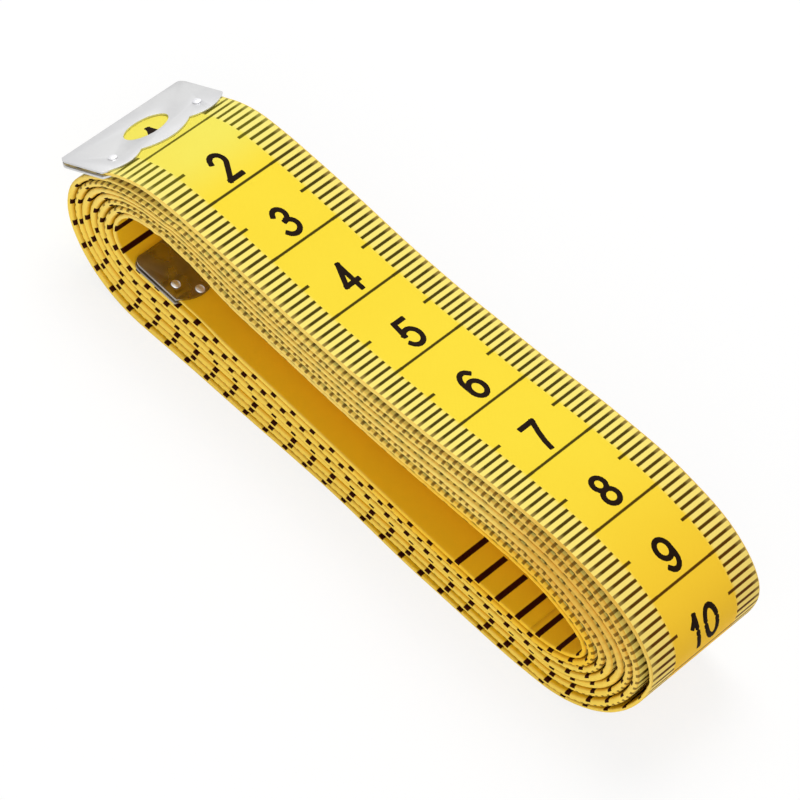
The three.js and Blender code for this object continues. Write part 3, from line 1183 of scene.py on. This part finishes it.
# The pen's strokes for each digit. They break where the pen would turn sharply.
STROKES = {
    "0": [arc((0.5, 0.5), (0.5, 0.5), 0, 360)],
    "1": [[(0, 0.72), (0.4, 0.86), (0.62, 1)], [(0.62, 1), (0.62, 0)]],
    "2": [
        [*arc((0.48, 0.73), (0.48, 0.27), 165, -30), (0.55, 0.36), (0.2, 0.12), (0, 0)],
        [(0, 0), (1, 0)],
    ],
    "3": [arc((0.46, 0.76), (0.42, 0.24), 155, -90), arc((0.46, 0.27), (0.54, 0.27), 78, -155)],
    "4": [[(0.72, 0), (0.72, 1)], [(0.72, 1), (0, 0.28)], [(0, 0.28), (1, 0.28)]],
    "5": [
        [(0.9, 1), (0.18, 1)],
        [(0.18, 1), (0.06, 0.5)],
        arc((0.45, 0.32), (0.55, 0.32), 140, -155),
    ],
    "6": [
        [*arc((0.52, 0.64), (0.52, 0.36), 40, 180), (0, 0.31)],
        arc((0.5, 0.31), (0.5, 0.31), 0, 360),
    ],
    "7": [[(0, 1), (1, 1)], [(1, 1), (0.66, 0.6), (0.44, 0.26), (0.36, 0)]],
    "8": [arc((0.5, 0.76), (0.42, 0.24), 0, 360), arc((0.5, 0.26), (0.5, 0.26), 0, 360)],
    "9": [
        [*arc((0.48, 0.36), (0.52, 0.36), -140, 0), (1, 0.69)],
        arc((0.5, 0.69), (0.5, 0.31), 0, 360),
    ],
}


@dataclass
class Figures:
    """The printed figures, drawn with a round pen in a box that is 1 wide and 1 high."""

    ribbon: Ribbon
    height: float = 3.9 * MM
    width: float = 2.0 * MM
    pen: float = 0.72 * MM
    narrow_share: float = 0.55
    spacing: float = 1.05 * MM
    foot: float = 0.75 * MM
    long_number_foot: float = 1.35 * MM
    pen_step: float = 0.4 * MM
    ink: float = 0.015 * MM
    nibs: Table = ((0.75, 1), (0.95, 0.8), (1, 0.3))  # reach past a stroke's end, and width
    flat_digits: dict[str, Mesh] = field(default_factory=dict)

    def digit(self, digit: str) -> Mesh:
        """One digit as a thin mesh of ink, lying flat with its foot on X and its left side on Y.

        Args:
            digit: the digit, as a character.

        Returns:
            The mesh, which is made once for each digit.
        """
        if digit not in self.flat_digits:
            share = self.narrow_share if digit == "1" else 1
            curve = bpy.data.curves.new(f"digit_{digit}", "CURVE")
            curve.dimensions = "2D"
            curve.fill_mode = "NONE"
            curve.bevel_depth = self.pen / 2
            curve.bevel_resolution = 0
            curve.use_fill_caps = True
            for stroke in STROKES[digit]:
                inked = [Vector((x * self.width * share, y * self.height)) for x, y in stroke]
                self.draw(curve, self.stepped(inked))
            drawn = bpy.data.objects.new(curve.name, curve)
            self.flat_digits[digit] = bpy.data.meshes.new_from_object(drawn)
            bpy.data.objects.remove(drawn)
        return self.flat_digits[digit]

    def stepped(self, points: list[Vector]) -> list[Vector]:
        """The same stroke with more points on its straight lengths, so that it can bend.

        Args:
            points: where the pen turns.

        Returns:
            Those points, with others between them.
        """
        made = points[:1]
        for before, after in zip(points, points[1:]):
            count = max(math.ceil((after - before).length / self.pen_step), 1)
            made += [before.lerp(after, (step + 1) / count) for step in range(count)]
        return made

    def draw(self, curve: Curve, points: list[Vector]) -> None:
        """Add a stroke to a curve: a closed loop, or an open one with round ends.

        Args:
            curve: the digit's curve.
            points: where the pen goes.
        """
        pen = curve.bevel_depth
        closed = (points[0] - points[-1]).length < pen / 100
        if closed:
            walked = [(point, 1.0) for point in points[:-1]]
        else:
            first = (points[0] - points[1]).normalized() * pen
            last = (points[-1] - points[-2]).normalized() * pen
            head = [(points[0] + first * reach, share) for reach, share in reversed(self.nibs)]
            tail = [(points[-1] + last * reach, share) for reach, share in self.nibs]
            walked = head + [(point, 1.0) for point in points] + tail
        spline = curve.splines.new("POLY")
        spline.use_cyclic_u = closed
        spline.points.add(len(walked) - 1)
        for point, (place, share) in zip(spline.points, walked):
            point.co = (place.x, place.y, 0, 1)
            point.radius = share

    def build(
        self, name: str, numbers: dict[int, float], side: Side, material: Material
    ) -> Object:
        """Print some numbers on one side of the ribbon.

        Args:
            name: the piece's name.
            numbers: each number with its line's distance from the outer tip.
            side: the side it is printed on.
            material: the ink.

        Returns:
            One piece with all of them.
        """
        whole = bmesh.new()
        flatness = self.ink / (self.pen / 2)
        for number, line in numbers.items():
            digits = str(number)
            foot = self.foot if len(digits) == 1 else self.long_number_foot
            widths = [self.width * (self.narrow_share if digit == "1" else 1) for digit in digits]
            left = -(sum(widths) + self.spacing * (len(digits) - 1)) / 2
            for digit, width in zip(digits, widths):
                known = len(whole.verts)
                whole.from_mesh(self.digit(digit))
                whole.verts.ensure_lookup_table()
                for vert in whole.verts[known:]:
                    x, y, z = vert.co
                    up = self.ribbon.thickness / 2 + z * flatness
                    across = (left + x) * side.value
                    vert.co = (line - foot - self.pen / 2 - y, across, up * side.value)
                left += width + self.spacing
        self.ribbon.wind(whole)
        bmesh.ops.recalc_face_normals(whole, faces=whole.faces[:])
        for face in whole.faces:
            face.smooth = False
        return new_piece(name, whole, material)


@dataclass
class Tape:
    """The whole ribbon in its three pieces, with its figures."""

    frame: dict
    route: Route
    bend_reach: float = 7 * MM
    figure_reach: float = 6 * MM
    last_centimetre: int = 26
    seen_inches: float = 220 * MM
    blank_end: float = 50 * MM

    def stretches(self) -> list[Stretch]:
        """The ribbon's pieces, which meet where neither end of it moves.

        Returns:
            The stretches, from the outer tip on.
        """
        lead_end, tail_start = self.route.marks["lead_end"], self.route.marks["tail_start"]
        return [
            Stretch("tape_lead", "tape_outer_end", 0, lead_end, "outer_end_lift"),
            Stretch("tape_winding", "tape_coil", lead_end, tail_start, None),
            Stretch("tape_tail", "tape_inner_end", tail_start, self.route.length, "inner_end_lift"),
        ]

    def attach(self, piece: Object, hinge: str | None) -> None:
        """Let a piece ride on the coil, or, at a free end's hinge, bake its place into its mesh.

        Args:
            piece: the piece.
            hinge: the joint at its free end, if it has one.
        """
        if hinge is None:
            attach(piece, "coil")
            return
        joint = next(j for j in self.frame["joints"] if j["name"] == hinge)
        pivot = Vector(joint["pos_m"])
        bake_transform(piece)

    def numbers(self, stretch: Stretch, side: Side) -> dict[int, float]:
        """The numbers that show on one side of a stretch, with their lines' distances.

        Args:
            stretch: the stretch.
            side: the side.

        Returns:
            Each number, with its line's distance from the outer tip.
        """
        unit = 10 * MM if side is Side.CENTIMETRES else INCH
        shown = {}
        last_line = self.route.length - self.blank_end
        for number in range(1, int(last_line / unit) + 1):
            line = number * unit - SCALE_ZERO
            inside = stretch.start + self.figure_reach < line < min(stretch.end, last_line)
            if side is Side.CENTIMETRES:
                shows = number <= self.last_centimetre
            else:
                from_end = self.route.length - line
                shows = stretch.hinge is not None or from_end < self.seen_inches
            if inside and shows:
                shown[number] = line
        return shown

    def build(self, tape: Material, ink: Material) -> None:
        """Make the ribbon and print its figures.

        Args:
            tape: the finish of the ribbon.
            ink: the finish of the figures.
        """
        ribbon = Ribbon(self.route)
        figures = Figures(ribbon)
        for stretch in self.stretches():
            piece = ribbon.build(stretch, tape)
            self.attach(piece, stretch.hinge)
            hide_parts(stretch.node)
            log.info("%s: %.0f mm of ribbon", piece.name, (stretch.end - stretch.start) / MM)
            for side in Side:
                numbers = self.numbers(stretch, side)
                if not numbers:
                    continue
                name = f"{stretch.name}_{side.name.lower()}"
                printed = figures.build(name, numbers, side, ink)
                self.attach(printed, stretch.hinge)
                log.info("%s: numbers %d to %d", printed.name, min(numbers), max(numbers))


@dataclass
class FoldedClip:
    """A clip: the CAD model's stamping with its edges rounded."""

    node: str
    body: str
    rounding: float = 0.05 * MM
    weld: float = 0.002 * MM
    flatness: float = math.radians(4)
    sharp: float = math.radians(35)

    def build(self, frame: dict, material: Material) -> None:
        """Make the clip over its node.

        Args:
            frame: the loaded frame.
            material: its finish.
        """
        node = frame["nodes"][self.node]
        bm = bmesh.new()
        bm.from_mesh(node.data)
        bm.transform(node.matrix_world)
        bmesh.ops.remove_doubles(bm, verts=bm.verts, dist=self.weld)
        bmesh.ops.dissolve_limit(
            bm, angle_limit=self.flatness, verts=bm.verts[:], edges=bm.edges[:]
        )
        bmesh.ops.bevel(
            bm,
            geom=[edge for edge in bm.edges if self.is_sharp(edge)],
            offset=self.rounding,
            segments=2,
            profile=0.5,
            affect="EDGES",
            clamp_overlap=True,
            material=-1,
        )
        for face in bm.faces:
            face.smooth = True
        for edge in bm.edges:
            edge.smooth = not self.is_sharp(edge)
        piece = new_piece(f"{self.node}_plated", bm, material)
        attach(piece, self.body)
        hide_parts(self.node)
        log.info("%s: %d faces", piece.name, len(piece.data.polygons))

    def is_sharp(self, edge: BMEdge) -> bool:
        """Whether two faces meet sharply at an edge."""
        return edge.is_manifold and edge.calc_face_angle() > self.sharp


# Stage, light and camera


@dataclass(frozen=True)
class SoftLamp:
    """A square lamp that faces the object, in metres and watts."""

    name: str
    place: tuple[float, float, float]
    size: float
    power: float

    def build(self) -> None:
        """Hang the lamp."""
        light = bpy.data.lights.new(self.name, "AREA")
        light.size = self.size
        light.energy = self.power
        lamp = new_object(self.name, light)
        lamp.location = self.place
        lamp.rotation_euler = Vector(self.place).to_track_quat("Z", "Y").to_euler()


@dataclass(frozen=True)
class Studio:
    """A white floor and soft light from above."""

    floor_size: float = 6.0
    roughness: float = 0.9
    ambient: float = 0.42
    paper: str = "ffffff"
    glow: float = 0.8
    lamps: tuple[SoftLamp, ...] = (
        SoftLamp("key", (-0.35, 0.25, 0.75), 0.5, 4.2),
        SoftLamp("fill", (0.3, -0.6, 0.5), 0.6, 2.2),
    )

    def floor(self) -> None:
        """A white floor that keeps the object's shadow faint."""
        bm = bmesh.new()
        bmesh.ops.create_grid(bm, x_segments=1, y_segments=1, size=self.floor_size / 2)
        material, wiring, shader = new_material("white_floor")
        finish = {"Base Color": self.paper, "Roughness": self.roughness, "Specular IOR Level": 0}
        wiring.feed(shader, finish)
        share = wiring.times(self.seen_ray(wiring), self.glow)
        glow = wiring.add("ShaderNodeEmission").outputs[0]
        mixed = wiring.add("ShaderNodeMixShader", {0: share, 1: shader.outputs[0], 2: glow})
        wiring.feed(wiring.found("OUTPUT_MATERIAL"), {"Surface": mixed.outputs[0]})
        new_piece("floor", bm, material)

    @staticmethod
    def seen_ray(wiring: Wiring) -> NodeSocket:
        """A mask that is 1 for a ray from the camera, a mirror or glass.

        Args:
            wiring: the wiring of the material or the world.

        Returns:
            The mask.
        """
        path = wiring.add("ShaderNodeLightPath")
        rays = ("Is Camera Ray", "Is Glossy Ray", "Is Transmission Ray")
        return wiring.chain("MAXIMUM", *(path.outputs[ray] for ray in rays))

    def world(self) -> None:
        """Even light from all round, seen as white."""
        world = bpy.data.worlds.new("studio")
        bpy.context.scene.world = world
        world.use_nodes = True
        wiring = Wiring(world.node_tree)
        seen = self.seen_ray(wiring)
        strength = wiring.math("MULTIPLY_ADD", seen, 1 - self.ambient, self.ambient)
        wiring.feed(wiring.found("BACKGROUND"), {"Color": self.paper, "Strength": strength})

    def build(self) -> None:
        """Set up the floor, the world and the lamps."""
        self.floor()
        self.world()
        for lamp in self.lamps:
            lamp.build()
        bpy.context.scene.view_settings.view_transform = "Standard"


@dataclass(frozen=True)
class PhotoCamera:
    """The photograph's view, from the lines and edges measured in it."""

    place: tuple[float, float, float] = (0.166234, -0.36454, 0.47465)
    right: tuple[float, float, float] = (0.72141, 0.64617, 0.24907)
    down: tuple[float, float, float] = (0.63784, -0.47993, -0.60236)
    lens: float = 238.76
    sensor: float = 36.0

    def build(self) -> None:
        """Make the camera the scene's."""
        right = Vector(self.right).normalized()
        forward = right.cross(Vector(self.down)).normalized()
        up = right.cross(forward)
        data = bpy.data.cameras.new("photo_camera")
        data.lens = self.lens
        data.sensor_width = self.sensor
        camera = new_object("photo_camera", data)
        turn = Matrix((right, up, -forward)).transposed().to_4x4()
        camera.matrix_world = Matrix.Translation(self.place) @ turn
        bpy.context.scene.camera = camera


def dress(frame: dict, nodes: Iterable[str], material: Material) -> None:
    """Give CAD nodes that stay their finish.

    Args:
        frame: the loaded frame.
        nodes: the nodes' names.
        material: their finish.
    """
    for name in nodes:
        data = frame["nodes"][name].data
        data.materials.clear()
        data.materials.append(material)
        log.info("%s: %s", name, material.name)


def main() -> None:
    """Build the camera, the pieces and the stage, in that order."""
    logging.basicConfig(level=logging.INFO, format="%(name)s: %(message)s")
    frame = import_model()
    PhotoCamera().build()
    effects = Effects()
    tape, ink = PrintedTape(effects).build(), Ink(effects).build()
    clip_metal = Plating(effects, "plated_sheet", "d9d9d9", "cfcfd0", 0.3, 0.15).build()
    # Painted shade: a darker, warmer copy of the plating for the inner clip, for its shade and dark
    # reflections in the bore.
    shaded_inner_metal = Plating(effects, "plated_sheet_inner", "aaa39a", "948d84", 0.22, 0.1).build()
    rivet_metal = Plating(effects, "plated_rivet", "e9e9ea", "dfdfe2", 0.4, 0.05).build()
    route = Winding().route()
    log.info("ribbon: %.0f mm long", route.length / MM)
    Tape(frame, route).build(tape, ink)
    FoldedClip("outer_end_clip", "outer_end").build(frame, clip_metal)
    FoldedClip("inner_end_clip", "inner_end").build(frame, shaded_inner_metal)
    dress(frame, [name for name in frame["nodes"] if "rivet" in name], rivet_metal)
    Studio().build()


if __name__ == "__main__":
    main()
